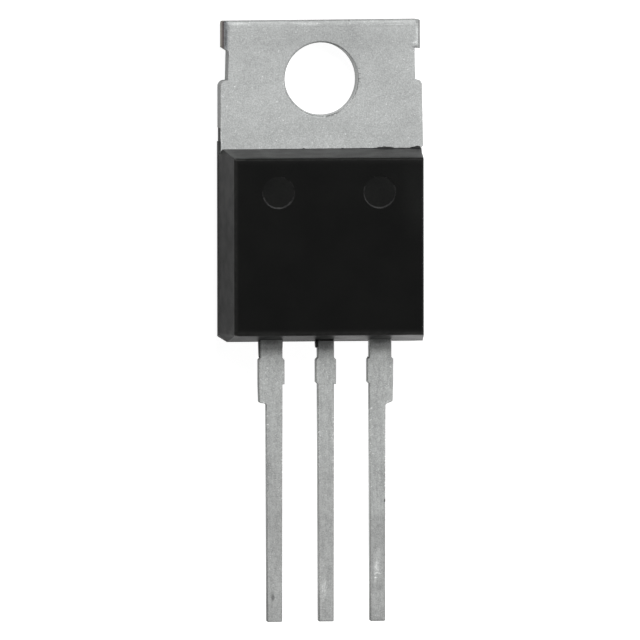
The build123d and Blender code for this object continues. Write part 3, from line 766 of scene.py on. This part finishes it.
def addBodyFlash():
    shape = bodyFlash
    width = shape["right"] - shape["left"]
    middleX = (shape["right"] + shape["left"]) / 2
    edge = (shape["edgeLeft"] + shape["edgeRight"]) / 2
    slant = math.atan((shape["edgeRight"] - shape["edgeLeft"]) / width)
    middleY = (shape["low"] + edge) / 2
    nearColumn = 0.6 * width / shape["columns"]             # takes in one column, or two
    bpy.ops.object.select_all(action="DESELECT")
    bpy.ops.mesh.primitive_grid_add(
        x_subdivisions=shape["columns"], y_subdivisions=1, size=1,
        location=Vector((middleX, middleY, shape["base"])) * mm)
    piece = bpy.context.object
    piece.name = "body_flash"
    piece.scale = (width * mm, (edge - shape["low"]) * mm, 1)
    applyPlace()
    selectIn(piece, "VERT", lambda place: place.y > middleY)
    bpy.ops.transform.rotate(
        value=-slant, orient_axis="Z", center_override=Vector((middleX, edge, shape["base"])) * mm)
    bpy.ops.mesh.hide(unselected=True)
    outerY = shape["low"] + 0.6 * (edge - shape["low"])     # past it lies only the outer edge
    for x, reach, out, fallOff in shape["creeps"]:
        selectIn(piece, "VERT", lambda place: place.y > outerY and abs(place.x - x) < nearColumn)
        bpy.ops.transform.translate(
            value=(0, out * mm, 0), use_proportional_edit=True,
            proportional_edit_falloff=fallOff, proportional_size=reach * mm)
    bpy.ops.mesh.reveal(select=False)
    applyModifier(piece, "SOLIDIFY", thickness=shape["thick"] * mm, offset=1)
    finishPiece(piece, "paleFlash")


addBodyFlash()
print("stage: body flash")


def addProfile(name, x, y, radius, height, width, tall, angle):
    # an upright rectangle, standing across an arc round x, y
    turn = math.radians(angle)
    middle = Vector((x + radius * math.cos(turn), y + radius * math.sin(turn), height))
    bpy.ops.object.select_all(action="DESELECT")
    bpy.ops.mesh.primitive_plane_add(size=1, location=middle * mm, rotation=(math.pi / 2, 0, turn))
    piece = bpy.context.object
    piece.name = name
    piece.scale = (width * mm, tall * mm, 1)
    applyPlace()
    return piece


def spinProfile(x, y, first, last, steps):
    bpy.ops.object.mode_set(mode="EDIT")
    bpy.ops.mesh.select_all(action="SELECT")
    bpy.ops.mesh.spin(
        steps=steps, angle=math.radians(first - last), center=(x * mm, y * mm, 0), axis=(0, 0, 1))


ejectorFlash = {
    "radius": 0.7995,       # just inside the mark's wall
    "floor": 4.4803,
    "top": 4.4993,
    "lip": 0.012,
    "stepAngle": 2.5,       # degrees
    "marks": {"left": (-2.535, -5.42), "right": (2.435, -5.42)},
    "arcs": {               # from, to, in degrees, and how far in its foot reaches
        "left": ((176, 196, 0.035), (197, 262, 0.065), (263, 325, 0.085), (326, 372, 0.060),
                 (373, 418, 0.045), (424, 440, 0.060)),
        "right": ((158, 232, 0.055), (233, 286, 0.070), (287, 322, 0.085), (323, 386, 0.060),
                  (422, 428, 0.060), (466, 473, 0.060)),
    },
}


def addEjectorFlash(name, x, y, arcs):
    shape = ejectorFlash
    tall = shape["top"] - shape["floor"]
    height = (shape["top"] + shape["floor"]) / 2
    center = Vector((x, y, 0))
    pieces = []
    for first, last, foot in arcs:
        radius = shape["radius"] - foot / 2
        turn = math.radians(first)
        out = Vector((math.cos(turn), math.sin(turn), 0))
        piece = addProfile(name, x, y, radius, height, foot, tall, first)
        selectIn(
            piece, "VERT", lambda place: place.z > height and (place - center).dot(out) < radius)
        bpy.ops.transform.translate(value=out * (foot - shape["lip"]) * mm)
        spinProfile(x, y, first, last, int((last - first) / shape["stepAngle"]))
        bpy.ops.object.mode_set(mode="OBJECT")
        pieces.append(piece)
    bpy.ops.object.select_all(action="DESELECT")
    for piece in pieces:
        piece.select_set(True)
    bpy.context.view_layer.objects.active = pieces[0]
    bpy.ops.object.join()
    finishPiece(pieces[0], "thinFlash")


for side, (x, y) in ejectorFlash["marks"].items():
    addEjectorFlash("ejector_flash_" + side, x, y, ejectorFlash["arcs"][side])
print("stage: ejector flash")


holeBurr = {
    "inner": 1.797,
    "outer": 1.806,         # hidden in the hole's wall
    "low": 0.32,
    "high": 1.20,
    "from": 155.0,          # degrees, anticlockwise from +X
    "to": 330.0,
    "steps": 70,
    "thickFrom": 227.0,     # where it is thickest, by how much, and how far that reaches
    "thickTo": 263.0,
    "thicker": 0.060,
    "reach": 1.6,
}


def addHoleBurr():
    shape = holeBurr
    between = (shape["inner"] + shape["outer"]) / 2
    height = (shape["low"] + shape["high"]) / 2
    piece = addProfile(
        "hole_burr", 0, 0, between, height, shape["outer"] - shape["inner"],
        shape["high"] - shape["low"], shape["from"])
    spinProfile(0, 0, shape["from"], shape["to"], shape["steps"])

    def onInside(place):
        return math.hypot(place.x, place.y) < between

    def whereThick(place):
        angle = math.degrees(math.atan2(place.y, place.x)) % 360
        return onInside(place) and shape["thickFrom"] < angle < shape["thickTo"]

    selectIn(piece, "VERT", onInside)
    bpy.ops.mesh.hide(unselected=True)
    selectIn(piece, "VERT", whereThick)
    turn = math.radians((shape["thickFrom"] + shape["thickTo"]) / 2)
    inwards = Vector((-math.cos(turn), -math.sin(turn), 0)) * shape["thicker"]
    bpy.ops.transform.translate(
        value=inwards * mm, use_proportional_edit=True, proportional_edit_falloff="SMOOTH",
        proportional_size=shape["reach"] * mm)
    bpy.ops.mesh.reveal(select=False)
    finishPiece(piece, "metal")


addHoleBurr()
print("stage: hole burr")
